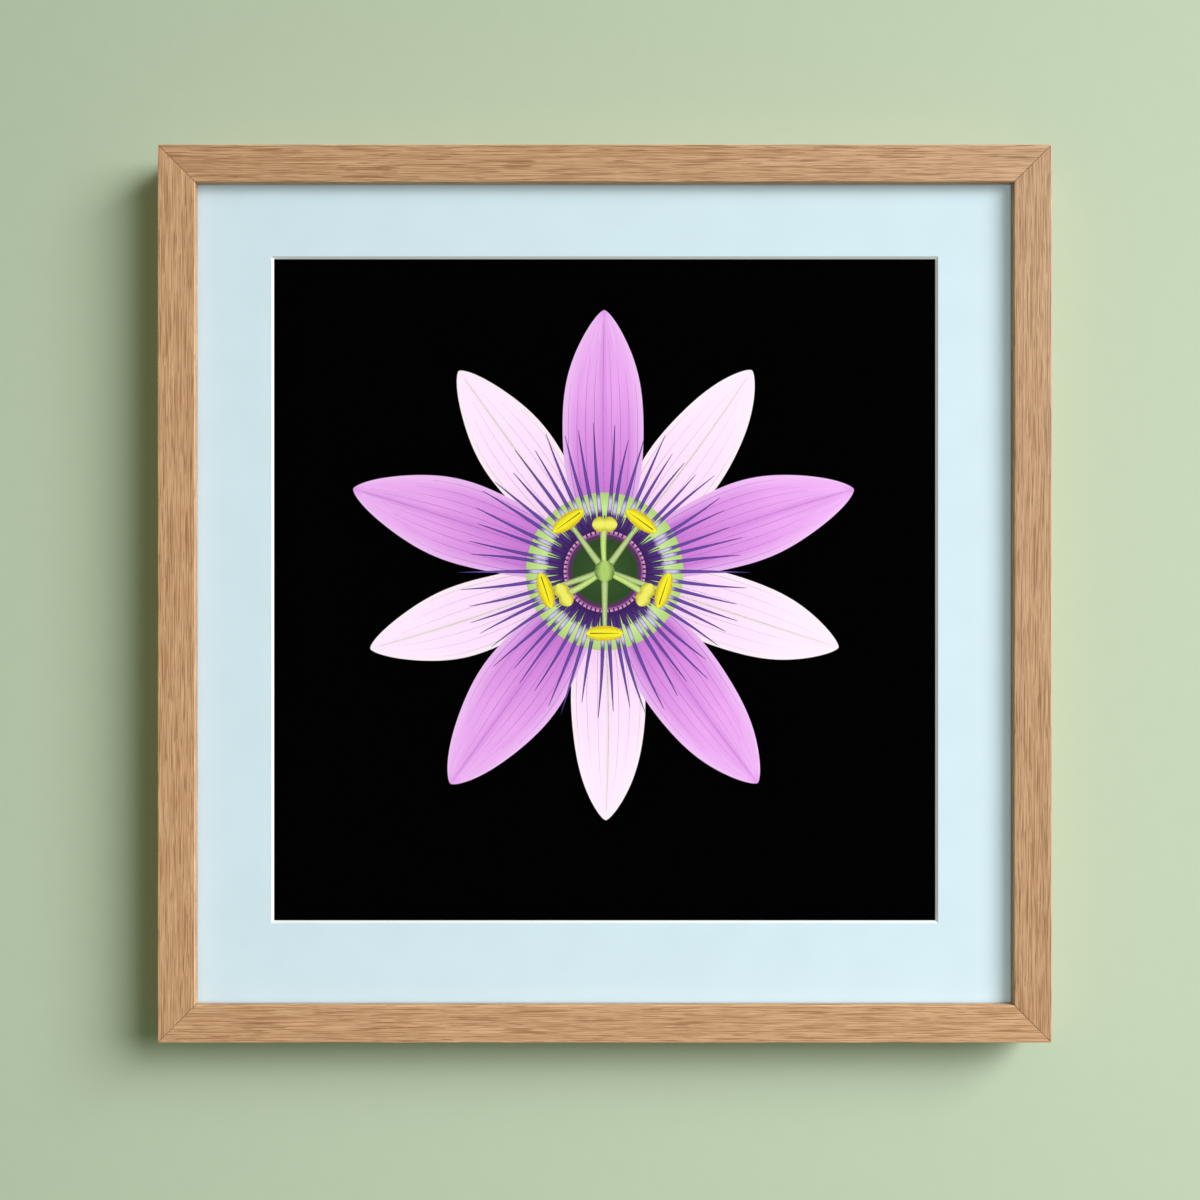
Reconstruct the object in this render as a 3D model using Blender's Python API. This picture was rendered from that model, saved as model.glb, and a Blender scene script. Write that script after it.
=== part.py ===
"""A framed print: an oak moulding, glass, a bevelled window mat and a square print, hung on a wall.

Every piece is built at its real size, in metres. The front faces -Y, +Z is up, and the wall is the
plane y = 0. The origin is the hanging point, where a wall nail bears in the middle notch of the
sawtooth hanger.
"""

import math

import bmesh
import bpy
from mathutils import Matrix

MM = 0.001
GAP = 0.3 * MM  # the play left between one piece and the next

# The moulding: four mitred rails with a rabbet behind the front lip.
OUTER_WIDTH = 528 * MM
OUTER_HEIGHT = 530.5 * MM
RAIL_FACE = 22 * MM
RAIL_DEPTH = 30 * MM
LIP_DEPTH = 5.5 * MM
RABBET_WIDTH = 8 * MM
EDGE_EASE = 0.5 * MM
WALL_CLEARANCE = 3 * MM  # from the rails' back faces to the wall
HANG_BELOW_TOP = 9.5 * MM  # from the frame's top edge down to the hanging point

# The stack in the rabbet, front to back.
GLASS_THICKNESS = 2 * MM
MAT_THICKNESS = 1.4 * MM
PRINT_THICKNESS = 0.3 * MM
TAPE_THICKNESS = 0.15 * MM
MOUNT_BOARD_THICKNESS = 1.4 * MM
BACKING_THICKNESS = 3 * MM
BOARD_PLAY = 2 * MM  # how much smaller the glass and boards are than the rabbet

# The window, square, with a bevel that opens towards the glass, and the print behind it.
WINDOW_SIDE = 394.5 * MM
WINDOW_RISE = 2.3 * MM  # above the middle of the sight opening, so the lower border is the wider
PRINT_SIDE = 400 * MM
TAPE_WIDTH = 25 * MM
TAPE_HEIGHT = 40 * MM
TAPE_FROM_MIDDLE = 120 * MM

# Points pressed sideways into the rabbet wall, three to a rail, to hold the stack in.
POINT_THICKNESS = 0.5 * MM
POINT_WIDTH = 8 * MM
POINT_LENGTH = 16 * MM
POINT_BITE = 6 * MM
POINT_SPACING = 160 * MM
POINT_CORNER = 2 * MM  # radius of the free end's corners
POINT_NOSE = 0.8 * MM  # half width of the driven tip

# V-shaped nails that pin each mitre from behind.
V_NAIL_LEG = 5 * MM
V_NAIL_THICKNESS = 0.6 * MM
V_NAIL_DEPTH = 7 * MM
V_NAIL_INSETS = (4 * MM, 8.5 * MM)  # from the outer corner, along both rails

# The sawtooth hanger and its two nails.
HANGER_LENGTH = 50 * MM
HANGER_RISE = 8 * MM  # of the plate's upper edge above the notch
HANGER_THICKNESS = 0.8 * MM
HANGER_TAB = 6 * MM
HANGER_JOGGLE = 2 * MM
HANGER_STANDOFF = 1.2 * MM
TOOTH_COUNT = 9
TOOTH_DEPTH = 1.8 * MM
NAIL_SHANK_RADIUS = 0.6 * MM
NAIL_HEAD_RADIUS = 1.6 * MM
NAIL_HEAD_THICKNESS = 0.7 * MM
NAIL_BITE = 10 * MM
NAIL_FROM_MIDDLE = 22 * MM
NAIL_RISE = 3 * MM
NAIL_TAPER = 1.5 * MM  # length of the pointed end
NAIL_CROWN_WIDTHS = (0.8, 0.45)  # of the head's radius, where its rounding starts and where it ends
NAIL_CROWN_RISE = 0.25 * MM
NAIL_SEGMENTS = 16

# Two soft bumpers that keep the lower rail off the wall.
BUMPER_RADIUS = 4.5 * MM
BUMPER_FROM_SIDE = 14 * MM
BUMPER_FROM_BOTTOM = 7 * MM
BUMPER_SHOULDERS = ((0, 1.4 * MM), (0.42 * MM, 0.42 * MM), (1.12 * MM, 0))  # in from the rim, from the wall
BUMPER_SEGMENTS = 32

# Planes and places that follow from these.
BACK = -WALL_CLEARANCE
FRONT = BACK - RAIL_DEPTH
LIP_BACK = FRONT + LIP_DEPTH
GLASS_FRONT = LIP_BACK + GAP
MAT_FRONT = GLASS_FRONT + GLASS_THICKNESS + GAP
PRINT_FRONT = MAT_FRONT + MAT_THICKNESS + GAP
TAPE_FRONT = PRINT_FRONT + PRINT_THICKNESS + GAP
MOUNT_BOARD_FRONT = TAPE_FRONT + TAPE_THICKNESS + GAP
BACKING_FRONT = MOUNT_BOARD_FRONT + MOUNT_BOARD_THICKNESS + GAP
POINT_FRONT = BACKING_FRONT + BACKING_THICKNESS + GAP
WALL_OF_RAIL = RAIL_FACE - RABBET_WIDTH  # the rail's thickness behind the lip
FRAME_TOP = HANG_BELOW_TOP
FRAME_BOTTOM = FRAME_TOP - OUTER_HEIGHT
FRAME_MIDDLE = (FRAME_TOP + FRAME_BOTTOM) / 2
WINDOW_MIDDLE = FRAME_MIDDLE + WINDOW_RISE
RABBET_HALF_WIDTH = OUTER_WIDTH / 2 - WALL_OF_RAIL
BOARD_BOTTOM = FRAME_BOTTOM + WALL_OF_RAIL + GAP
BOARD_TOP = FRAME_TOP - WALL_OF_RAIL - BOARD_PLAY + GAP
BOARD_HALF_WIDTH = RABBET_HALF_WIDTH - BOARD_PLAY / 2

# Each rail: its name, its length, and the turn about Y that points its outer edge outwards.
RAILS = (
    ("rail_top", OUTER_WIDTH, 0.0),
    ("rail_right", OUTER_HEIGHT, math.pi / 2),
    ("rail_bottom", OUTER_WIDTH, math.pi),
    ("rail_left", OUTER_HEIGHT, -math.pi / 2),
)


def clear_scene():
    """Remove whatever objects the file holds."""
    for obj in list(bpy.data.objects):
        bpy.data.objects.remove(obj, do_unlink=True)


def finish(name, colour, roughness, metallic=0.0, alpha=1.0):
    """Make one Principled material."""
    material = bpy.data.materials.new(name)
    material.use_nodes = True
    shader = material.node_tree.nodes["Principled BSDF"]
    shader.inputs["Base Color"].default_value = (*colour, 1.0)
    shader.inputs["Roughness"].default_value = roughness
    shader.inputs["Metallic"].default_value = metallic
    shader.inputs["Alpha"].default_value = alpha
    material.diffuse_color = (*colour, 1.0)
    return material


def add_object(name, bm, material=None, parent=None):
    """Turn a bmesh into a named object with outward faces."""
    bmesh.ops.recalc_face_normals(bm, faces=bm.faces)
    mesh = bpy.data.meshes.new(name)
    bm.to_mesh(mesh)
    bm.free()
    obj = bpy.data.objects.new(name, mesh)
    bpy.context.scene.collection.objects.link(obj)
    if material is not None:
        mesh.materials.append(material)
    obj.parent = parent
    return obj


def carve(obj, cutter):
    """Cut one piece with another, which stays in the file as a hidden cutter."""
    cutter.hide_render = True
    cutter.display_type = "WIRE"
    cutter.hide_set(True)
    cut = obj.modifiers.new("cut_" + cutter.name, "BOOLEAN")
    cut.operation = "DIFFERENCE"
    cut.solver = "EXACT"
    cut.object = cutter


def thicken(bm, faces, offset):
    """Give a sheet of faces a thickness, by a copy moved by the offset and walls round the rim."""
    grown = bmesh.ops.extrude_face_region(bm, geom=faces, use_keep_orig=True)
    moved = [item for item in grown["geom"] if isinstance(item, bmesh.types.BMVert)]
    bmesh.ops.translate(bm, verts=moved, vec=offset)


def prism(outline, front, back):
    """Extrude an outline of (x, z) points from one depth to another."""
    bm = bmesh.new()
    face = bm.faces.new([bm.verts.new((x, front, z)) for x, z in outline])
    thicken(bm, [face], (0.0, back - front, 0.0))
    return bm


def rectangle(left, right, bottom, top):
    """The outline of an upright rectangle."""
    return ((left, bottom), (right, bottom), (right, top), (left, top))


def turned(profile, segments):
    """Spin a profile of (radius, y) points about the Y axis. It starts and ends on the axis."""
    bm = bmesh.new()
    verts = [bm.verts.new((radius, y, 0.0)) for radius, y in profile]
    edges = [bm.edges.new(pair) for pair in zip(verts, verts[1:])]
    bmesh.ops.spin(
        bm, geom=verts + edges, cent=(0, 0, 0), axis=(0, 1, 0),
        angle=2 * math.pi, steps=segments, use_merge=True,
    )
    bmesh.ops.remove_doubles(bm, verts=bm.verts, dist=0.01 * MM)
    return bm


def smooth_round(obj):
    """Shade a turned piece smooth and keep its rims crisp."""
    obj.data.shade_smooth()
    obj.data.set_sharp_from_angle(angle=math.radians(35))


# ---------------------------------------------------------------- the rails


def rail_bar(length):
    """A mitred bar with a rabbet. Its outer edge is on z = 0 and it runs along X."""
    outline = (
        (FRONT, 0.0),
        (FRONT, -RAIL_FACE),
        (LIP_BACK, -RAIL_FACE),
        (LIP_BACK, -WALL_OF_RAIL),
        (BACK, -WALL_OF_RAIL),
        (BACK, 0.0),
    )
    half_gap = GAP / math.sqrt(2)  # along X, so the two mitre faces are GAP apart
    bm = bmesh.new()
    ends = [bm.verts.new((-(length / 2 + z - half_gap), y, z)) for y, z in outline]
    grown = bmesh.ops.extrude_face_region(bm, geom=[bm.faces.new(ends)], use_keep_orig=True)
    for item in grown["geom"]:
        if isinstance(item, bmesh.types.BMVert):
            item.co.x = -item.co.x
    eased = [edge for edge in bm.edges if is_outer_arris(edge)]
    bmesh.ops.bevel(
        bm, geom=eased, offset=EDGE_EASE, affect="EDGES", segments=2, profile=0.5, material=-1,
    )
    return bm


def is_outer_arris(edge):
    """Whether an edge runs along the rail and is one that shows: two in front and one behind."""
    start, end = (vert.co for vert in edge.verts)
    along = abs(start.x - end.x) > RAIL_FACE and abs(start.z - end.z) < GAP
    in_front = abs(start.y - FRONT) < GAP and abs(end.y - FRONT) < GAP
    back_outer = abs(start.y - BACK) < GAP and abs(start.z) < GAP
    return along and (in_front or back_outer)


def slot_cutter(name, left, right, front, back, bottom, top, place):
    """A box-shaped cutter in a rail's own axes, moved to where that rail is."""
    bm = prism(rectangle(left, right, bottom, top), front, back)
    cutter = add_object(name, bm)
    cutter.matrix_world = place
    return cutter


def carve_v_nail_slots(rail, length, place):
    """Two slots at each end, one for each V nail's leg in this rail."""
    clear = V_NAIL_THICKNESS / 2 + GAP
    for side in (-1, 1):
        for number, inset in enumerate(V_NAIL_INSETS, 1):
            corner = side * (length / 2 - inset)
            left, right = sorted((corner + side * clear, corner - side * (V_NAIL_LEG + GAP)))
            cutter = slot_cutter(
                f"{rail.name}_v_slot_{'left' if side < 0 else 'right'}_{number}",
                left, right, BACK - V_NAIL_DEPTH - 2 * GAP, BACK + MM, -inset - clear, -inset + clear, place,
            )
            carve(rail, cutter)


def carve_point_slots(rail, place):
    """Three slots in the rabbet wall for the points."""
    for number in (-1, 0, 1):
        middle = number * POINT_SPACING
        cutter = slot_cutter(
            f"{rail.name}_point_slot_{number + 2}",
            middle - POINT_WIDTH / 2 - GAP, middle + POINT_WIDTH / 2 + GAP,
            POINT_FRONT - GAP, POINT_FRONT + POINT_THICKNESS + GAP,
            -WALL_OF_RAIL - MM, -WALL_OF_RAIL + POINT_BITE + GAP, place,
        )
        carve(rail, cutter)


def carve_nail_holes(rail):
    """The two holes in the top rail for the hanger's nails."""
    radius = NAIL_SHANK_RADIUS + GAP
    deepest = BACK - NAIL_BITE - GAP
    for side, word in ((-1, "left"), (1, "right")):
        bm = turned(((0, deepest), (radius, deepest), (radius, MM), (0, MM)), NAIL_SEGMENTS)
        cutter = add_object(f"{rail.name}_nail_hole_{word}", bm)
        cutter.location = (side * NAIL_FROM_MIDDLE, 0, NAIL_RISE)
        carve(rail, cutter)


def rail_place(turn):
    """Where a rail's own axes lie: on the middle of its side of the frame, turned outwards."""
    rotation = Matrix.Rotation(turn, 4, "Y")
    reach = OUTER_WIDTH / 2 if abs(math.sin(turn)) > 0.5 else OUTER_HEIGHT / 2
    middle = Matrix.Translation((0, 0, FRAME_MIDDLE))
    return middle @ rotation @ Matrix.Translation((0, 0, reach))


def build_rails(oak, parent):
    """All four rails, with their slots and holes."""
    for name, length, turn in RAILS:
        place = rail_place(turn)
        rail = add_object(name, rail_bar(length), oak, parent)
        rail.matrix_world = place
        carve_v_nail_slots(rail, length, place)
        carve_point_slots(rail, place)
        if name == "rail_top":
            carve_nail_holes(rail)


def build_v_nails(steel, parent):
    """Two V nails in each corner, one leg in each rail, sunk just under the back face."""
    half = V_NAIL_THICKNESS / 2
    outline = (
        (half, half), (-V_NAIL_LEG, half), (-V_NAIL_LEG, -half),
        (-half, -half), (-half, -V_NAIL_LEG), (half, -V_NAIL_LEG),
    )
    for up, height in ((1, "top"), (-1, "bottom")):
        for side, word in ((-1, "left"), (1, "right")):
            for number, inset in enumerate(V_NAIL_INSETS, 1):
                x = side * (OUTER_WIDTH / 2 - inset)
                z = FRAME_MIDDLE + up * (OUTER_HEIGHT / 2 - inset)
                points = [(x + side * px, z + up * pz) for px, pz in outline]
                bm = prism(points, BACK - GAP - V_NAIL_DEPTH, BACK - GAP)
                add_object(f"v_nail_{height}_{word}_{number}", bm, steel, parent)


# ---------------------------------------------------------------- the stack in the rabbet


def board_outline():
    """The outline that the glass and the boards share, resting on the lower rabbet wall."""
    return rectangle(-BOARD_HALF_WIDTH, BOARD_HALF_WIDTH, BOARD_BOTTOM, BOARD_TOP)


def build_board(name, front, thickness, material, parent):
    """One full sheet of the stack."""
    add_object(name, prism(board_outline(), front, front + thickness), material, parent)


def build_window_mat(material, parent):
    """The mat board and its window, cut at 45 degrees so that it opens towards the glass."""
    back = MAT_FRONT + MAT_THICKNESS
    half = WINDOW_SIDE / 2
    overrun = MM
    mat = add_object("window_mat", prism(board_outline(), MAT_FRONT, back), material, parent)
    bm = prism(rectangle(-half, half, -half, half), MAT_FRONT - overrun, back + overrun)
    for vert in bm.verts:
        spread = back - vert.co.y  # the 45 degree bevel: as much wider as it is nearer the glass
        vert.co.x *= 1 + spread / half
        vert.co.z *= 1 + spread / half
    cutter = add_object("window_cutter", bm)
    cutter.location.z = WINDOW_MIDDLE
    carve(mat, cutter)


def build_print(material, parent):
    """The square sheet behind the window."""
    half = PRINT_SIDE / 2
    outline = rectangle(-half, half, WINDOW_MIDDLE - half, WINDOW_MIDDLE + half)
    bm = prism(outline, PRINT_FRONT, PRINT_FRONT + PRINT_THICKNESS)
    add_object("print_sheet", bm, material, parent)


def build_hinge_tapes(material, parent):
    """Two tapes that hang the print from the mount board, half of each above the print's edge."""
    edge = WINDOW_MIDDLE + PRINT_SIDE / 2
    for side, word in ((-1, "left"), (1, "right")):
        middle = side * TAPE_FROM_MIDDLE
        outline = rectangle(
            middle - TAPE_WIDTH / 2, middle + TAPE_WIDTH / 2, edge - TAPE_HEIGHT / 2, edge + TAPE_HEIGHT / 2,
        )
        bm = prism(outline, TAPE_FRONT, TAPE_FRONT + TAPE_THICKNESS)
        add_object(f"hinge_tape_{word}", bm, material, parent)


def point_outline():
    """A point in its rail's axes: a tapered nose in the wood and a round-cornered tab over the board."""
    half = POINT_WIDTH / 2
    root = -WALL_OF_RAIL
    tip = root + POINT_BITE
    tail = tip - POINT_LENGTH
    outline = [(POINT_NOSE, tip), (-POINT_NOSE, tip), (-half, root + MM)]
    for step in range(4):
        angle = math.radians(30 * step)
        inward = POINT_CORNER * (1 - math.cos(angle))
        upward = POINT_CORNER * (1 - math.sin(angle))
        outline.append((-half + inward, tail + upward))
    mirrored = [(-x, z) for x, z in reversed(outline[2:])]
    return outline + mirrored


def build_points(steel, parent):
    """Three points in each rail's rabbet wall, flat on the backing board."""
    for name, _length, turn in RAILS:
        for number in (-1, 0, 1):
            bm = prism(point_outline(), POINT_FRONT, POINT_FRONT + POINT_THICKNESS)
            word = name.replace("rail_", "flexi_point_")
            point = add_object(f"{word}_{number + 2}", bm, steel, parent)
            point.matrix_world = rail_place(turn) @ Matrix.Translation((number * POINT_SPACING, 0, 0))


# ---------------------------------------------------------------- the back hardware


def hanger_height(x):
    """How far the hanger's plate stands off its end tabs at a place along it."""
    run = (HANGER_LENGTH / 2 - HANGER_TAB - abs(x)) / HANGER_JOGGLE
    return HANGER_STANDOFF * min(max(run, 0.0), 1.0)


def hanger_stations():
    """(x, lower edge) along the hanger: plain tabs and a row of teeth with notches at z = 0."""
    half = HANGER_LENGTH / 2
    toothed = half - HANGER_TAB - HANGER_JOGGLE
    pitch = 2 * toothed / (TOOTH_COUNT - 1)
    stations = [(-half, 0.0), (-half + HANGER_TAB, 0.0), (-toothed, 0.0)]
    for tooth in range(TOOTH_COUNT - 1):
        start = -toothed + tooth * pitch
        stations += [(start + pitch / 2, -TOOTH_DEPTH), (start + pitch, 0.0)]
    return stations + [(half - HANGER_TAB, 0.0), (half, 0.0)]


def build_hanger(brass, parent):
    """A strip of metal with pinned tabs, and a raised middle whose lower edge is notched."""
    seat = BACK + GAP
    bm = bmesh.new()
    lower = []
    upper = []
    for x, z in hanger_stations():
        y = seat + hanger_height(x)
        lower.append(bm.verts.new((x, y, z)))
        upper.append(bm.verts.new((x, y, HANGER_RISE)))
    faces = [
        bm.faces.new((lower[i], lower[i + 1], upper[i + 1], upper[i])) for i in range(len(lower) - 1)
    ]
    thicken(bm, faces, (0.0, HANGER_THICKNESS, 0.0))
    hanger = add_object("sawtooth_hanger", bm, brass, parent)
    radius = NAIL_SHANK_RADIUS + GAP
    for side, word in ((-1, "left"), (1, "right")):
        through = turned(((0, BACK), (radius, BACK), (radius, MM), (0, MM)), NAIL_SEGMENTS)
        cutter = add_object(f"hanger_hole_{word}", through)
        cutter.location = (side * NAIL_FROM_MIDDLE, 0, NAIL_RISE)
        carve(hanger, cutter)


def build_hanger_nails(brass, parent):
    """A round-headed nail through each end tab of the hanger, into the top rail."""
    under_head = BACK + GAP + HANGER_THICKNESS + GAP
    tip = BACK - NAIL_BITE
    crown = under_head + NAIL_HEAD_THICKNESS
    profile = (
        (0, tip),
        (NAIL_SHANK_RADIUS, tip + NAIL_TAPER),
        (NAIL_SHANK_RADIUS, under_head),
        (NAIL_HEAD_RADIUS, under_head),
        (NAIL_HEAD_RADIUS * NAIL_CROWN_WIDTHS[0], crown - NAIL_CROWN_RISE),
        (NAIL_HEAD_RADIUS * NAIL_CROWN_WIDTHS[1], crown),
        (0, crown),
    )
    for side, word in ((-1, "left"), (1, "right")):
        nail = add_object(f"hanger_nail_{word}", turned(profile, NAIL_SEGMENTS), brass, parent)
        nail.location = (side * NAIL_FROM_MIDDLE, 0, NAIL_RISE)
        smooth_round(nail)


def build_bumpers(rubber, parent):
    """Two domed discs stuck on the lower rail, whose flat faces meet the wall."""
    seat = BACK + GAP
    rounding = [(BUMPER_RADIUS - inward, -off_wall) for inward, off_wall in BUMPER_SHOULDERS]
    profile = [(0, seat), (BUMPER_RADIUS, seat), *rounding, (0, 0)]
    for side, word in ((-1, "left"), (1, "right")):
        bumper = add_object(f"wall_bumper_{word}", turned(profile, BUMPER_SEGMENTS), rubber, parent)
        bumper.location.x = side * (OUTER_WIDTH / 2 - BUMPER_FROM_SIDE)
        bumper.location.z = FRAME_BOTTOM + BUMPER_FROM_BOTTOM
        smooth_round(bumper)


def main():
    clear_scene()
    oak = finish("oak", (0.53, 0.31, 0.17), 0.5)
    steel = finish("steel", (0.55, 0.55, 0.56), 0.35, metallic=1.0)
    brass = finish("brassed_steel", (0.72, 0.55, 0.27), 0.3, metallic=1.0)
    glass = finish("glass", (0.9, 0.95, 0.94), 0.05, alpha=0.35)
    mat_board = finish("mat_board", (0.66, 0.80, 0.86), 0.9)
    paper = finish("print_paper", (0.03, 0.03, 0.03), 0.6)
    tape = finish("linen_tape", (0.85, 0.84, 0.8), 0.9)
    white_board = finish("white_board", (0.82, 0.81, 0.77), 0.9)
    hardboard = finish("hardboard", (0.3, 0.17, 0.09), 0.75)
    rubber = finish("bumper_rubber", (0.75, 0.76, 0.76), 0.4)

    frame = bpy.data.objects.new("framed_print", None)
    bpy.context.scene.collection.objects.link(frame)

    build_rails(oak, frame)
    build_v_nails(steel, frame)
    build_board("glazing", GLASS_FRONT, GLASS_THICKNESS, glass, frame)
    build_window_mat(mat_board, frame)
    build_print(paper, frame)
    build_hinge_tapes(tape, frame)
    build_board("mount_board", MOUNT_BOARD_FRONT, MOUNT_BOARD_THICKNESS, white_board, frame)
    build_board("backing_board", BACKING_FRONT, BACKING_THICKNESS, hardboard, frame)
    build_points(steel, frame)
    build_hanger(brass, frame)
    build_hanger_nails(brass, frame)
    build_bumpers(rubber, frame)


main()
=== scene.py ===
"""Finishes and artwork of a framed flower print, laid out as a Blender add-on.

The frame's pieces are already in place. This script gives every one its finish, draws the printed
flower as thin layers of ink on the sheet behind the window, and sets the wall, lamps and camera.
Lengths are metres. The picture faces -Y and hangs on the plane y = 0.
"""

import math
import random

import bmesh
import bpy
from mathutils import Matrix, Vector


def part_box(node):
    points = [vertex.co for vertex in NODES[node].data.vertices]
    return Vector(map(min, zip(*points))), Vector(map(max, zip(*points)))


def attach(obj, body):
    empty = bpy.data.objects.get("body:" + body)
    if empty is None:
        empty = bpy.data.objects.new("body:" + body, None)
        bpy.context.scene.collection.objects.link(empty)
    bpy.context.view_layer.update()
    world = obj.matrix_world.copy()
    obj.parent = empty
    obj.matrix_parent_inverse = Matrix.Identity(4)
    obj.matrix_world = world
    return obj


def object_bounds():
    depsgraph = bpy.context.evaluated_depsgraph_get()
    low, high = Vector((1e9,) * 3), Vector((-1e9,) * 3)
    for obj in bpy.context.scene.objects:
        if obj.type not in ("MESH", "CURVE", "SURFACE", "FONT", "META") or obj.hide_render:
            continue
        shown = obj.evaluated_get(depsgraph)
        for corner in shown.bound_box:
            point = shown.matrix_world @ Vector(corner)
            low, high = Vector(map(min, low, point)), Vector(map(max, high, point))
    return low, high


bl_info = {
    "name": "Framed Flower Print",
    "version": (1, 0, 0),
    "blender": (4, 5, 0),
    "location": "View3D > Sidebar > Framed Print",
    "description": "Finishes an oak picture frame and draws the flower print inside it",
    "category": "Add Mesh",
}

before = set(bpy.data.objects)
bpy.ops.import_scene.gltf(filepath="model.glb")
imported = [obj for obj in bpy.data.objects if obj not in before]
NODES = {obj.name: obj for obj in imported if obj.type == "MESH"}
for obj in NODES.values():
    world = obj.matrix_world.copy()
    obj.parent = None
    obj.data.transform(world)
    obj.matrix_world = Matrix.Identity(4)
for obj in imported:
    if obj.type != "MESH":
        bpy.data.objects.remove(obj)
CAD_BOX = [list(corner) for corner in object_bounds()]

MM = 0.001
SHEET_LOW, SHEET_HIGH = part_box("print_sheet")
SHEET_MIDDLE = (SHEET_LOW + SHEET_HIGH) / 2
SHEET_FRONT = SHEET_LOW.y
FRAME_LOW, FRAME_HIGH = Vector(CAD_BOX[0]), Vector(CAD_BOX[1])
FRAME_MIDDLE = (FRAME_LOW + FRAME_HIGH) / 2
MAT_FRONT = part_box("window_mat")[0].y

# Ink lies on the sheet in thin layers, each a little nearer the glass than the one under it.
INK_STEP = 0.035 * MM
INK_THICKNESS = 0.025 * MM

RIGHT_ANGLE = math.pi / 2
FIFTH_OF_TURN = 2 * math.pi / 5


def from_srgb(red, green, blue):
    """A linear colour from the 0 to 255 values that a paint chart gives."""
    shares = [value / 255 for value in (red, green, blue)]
    return tuple(s / 12.92 if s <= 0.04045 else ((s + 0.055) / 1.055) ** 2.4 for s in shares)


# ---------------------------------------------------------------- what a user would change


def length_property(name, description, default):
    return bpy.props.FloatProperty(name=name, description=description, default=default, unit="LENGTH")


def colour_property(name, description, default):
    return bpy.props.FloatVectorProperty(
        name=name, description=description, default=default, subtype="COLOR", size=3, min=0, max=1,
    )


class FlowerSizes(bpy.types.PropertyGroup):
    """The printed flower's sizes."""

    rise: length_property("Rise", "How far the flower's middle is above the sheet's middle", 11 * MM)
    petal_reach: length_property("Petal reach", "From the flower's middle to a petal's tip", 158 * MM)
    petal_width: length_property("Petal width", "Across a petal at its widest", 50 * MM)
    sepal_reach: length_property("Sepal reach", "From the flower's middle to a sepal's tip", 149 * MM)
    sepal_width: length_property("Sepal width", "Across a sepal at its widest", 44 * MM)
    corona_reach: length_property("Corona reach", "From the middle to the long filaments' tips", 90 * MM)
    disc_radius: length_property("Disc radius", "Of the pale disc under the filaments", 47 * MM)
    throat_radius: length_property("Throat radius", "Of the dark throat", 24 * MM)
    anther_reach: length_property("Anther reach", "From the middle to an anther", 37 * MM)
    stigma_reach: length_property("Stigma reach", "From the middle to a stigma", 28 * MM)
    filament_count: bpy.props.IntProperty(
        name="Filaments", description="How many long filaments the corona has",
        default=54, min=20, max=120,
    )


class FinishColours(bpy.types.PropertyGroup):
    """The finishes' main colours."""

    oak_light: colour_property("Oak, light", "Between the grain lines", from_srgb(200, 160, 122))
    oak_dark: colour_property("Oak, dark", "The duller bands of the grain", from_srgb(179, 137, 100))
    oak_streak: colour_property("Oak streaks", "Along the grain lines", from_srgb(150, 107, 71))
    oak_pore: colour_property("Oak pores", "In the open pores", from_srgb(128, 88, 56))
    mat_face: colour_property("Mat face", "The window mat's facing paper", from_srgb(203, 219, 229))
    mat_core: colour_property("Mat core", "The board's core, on the bevel", from_srgb(230, 230, 231))
    ground: colour_property("Ground", "The print's ground", from_srgb(1, 1, 1))
    petal: colour_property("Petals", "The petals' violet", from_srgb(228, 159, 229))
    sepal: colour_property("Sepals", "The sepals' pale pink", from_srgb(250, 221, 247))
    filament: colour_property("Filaments", "The corona's purple", from_srgb(102, 69, 158))
    anther: colour_property("Anthers", "The anthers' yellow", from_srgb(236, 223, 28))
    wall: colour_property("Wall", "The wall behind the frame", from_srgb(205, 218, 190))


# ---------------------------------------------------------------- node helpers


def finish(name, sockets):
    """A new material with one Principled shader, whose fixed values are set on its own sockets."""
    material = bpy.data.materials.new(name)
    material.use_nodes = True
    shader = material.node_tree.nodes["Principled BSDF"]
    for socket, value in sockets.items():
        shader.inputs[socket].default_value = value
    return material, material.node_tree, shader


def node(tree, kind, inputs=(), **settings):
    """Add a node. An input is a value, or a socket to link."""
    made = tree.nodes.new(kind)
    for name, value in settings.items():
        setattr(made, name, value)
    for key, value in dict(inputs).items():
        if isinstance(value, bpy.types.NodeSocket):
            tree.links.new(value, made.inputs[key])
        else:
            made.inputs[key].default_value = value
    return made


def coordinates(tree, output="Object"):
    return node(tree, "ShaderNodeTexCoord").outputs[output]


def stretched(tree, vector, scale, rotation=(0, 0, 0), location=(0, 0, 0)):
    values = {"Vector": vector, "Scale": scale, "Rotation": rotation, "Location": location}
    return node(tree, "ShaderNodeMapping", values).outputs["Vector"]


def noise(tree, vector, scale=1.0, detail=2.0, roughness=0.5):
    values = {"Vector": vector, "Scale": scale, "Detail": detail, "Roughness": roughness}
    return node(tree, "ShaderNodeTexNoise", values).outputs["Fac"]


def math_node(tree, operation, first, second=0.0):
    return node(tree, "ShaderNodeMath", {0: first, 1: second}, operation=operation).outputs[0]


def rescale(tree, value, low, high, new_low=0.0, new_high=1.0):
    """Map a range of a value to another, clamped at both ends."""
    values = {"Value": value, "From Min": low, "From Max": high, "To Min": new_low, "To Max": new_high}
    return node(tree, "ShaderNodeMapRange", values, interpolation_type="SMOOTHSTEP").outputs["Result"]


def ramp(tree, factor, stops):
    """Colours at places from 0 to 1."""
    made = node(tree, "ShaderNodeValToRGB", {"Fac": factor})
    elements = made.color_ramp.elements
    while len(elements) < len(stops):
        elements.new(0.5)
    for element, (position, colour) in zip(elements, stops):
        element.position = position
        element.color = (*colour, 1.0)
    return made.outputs["Color"]


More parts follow.
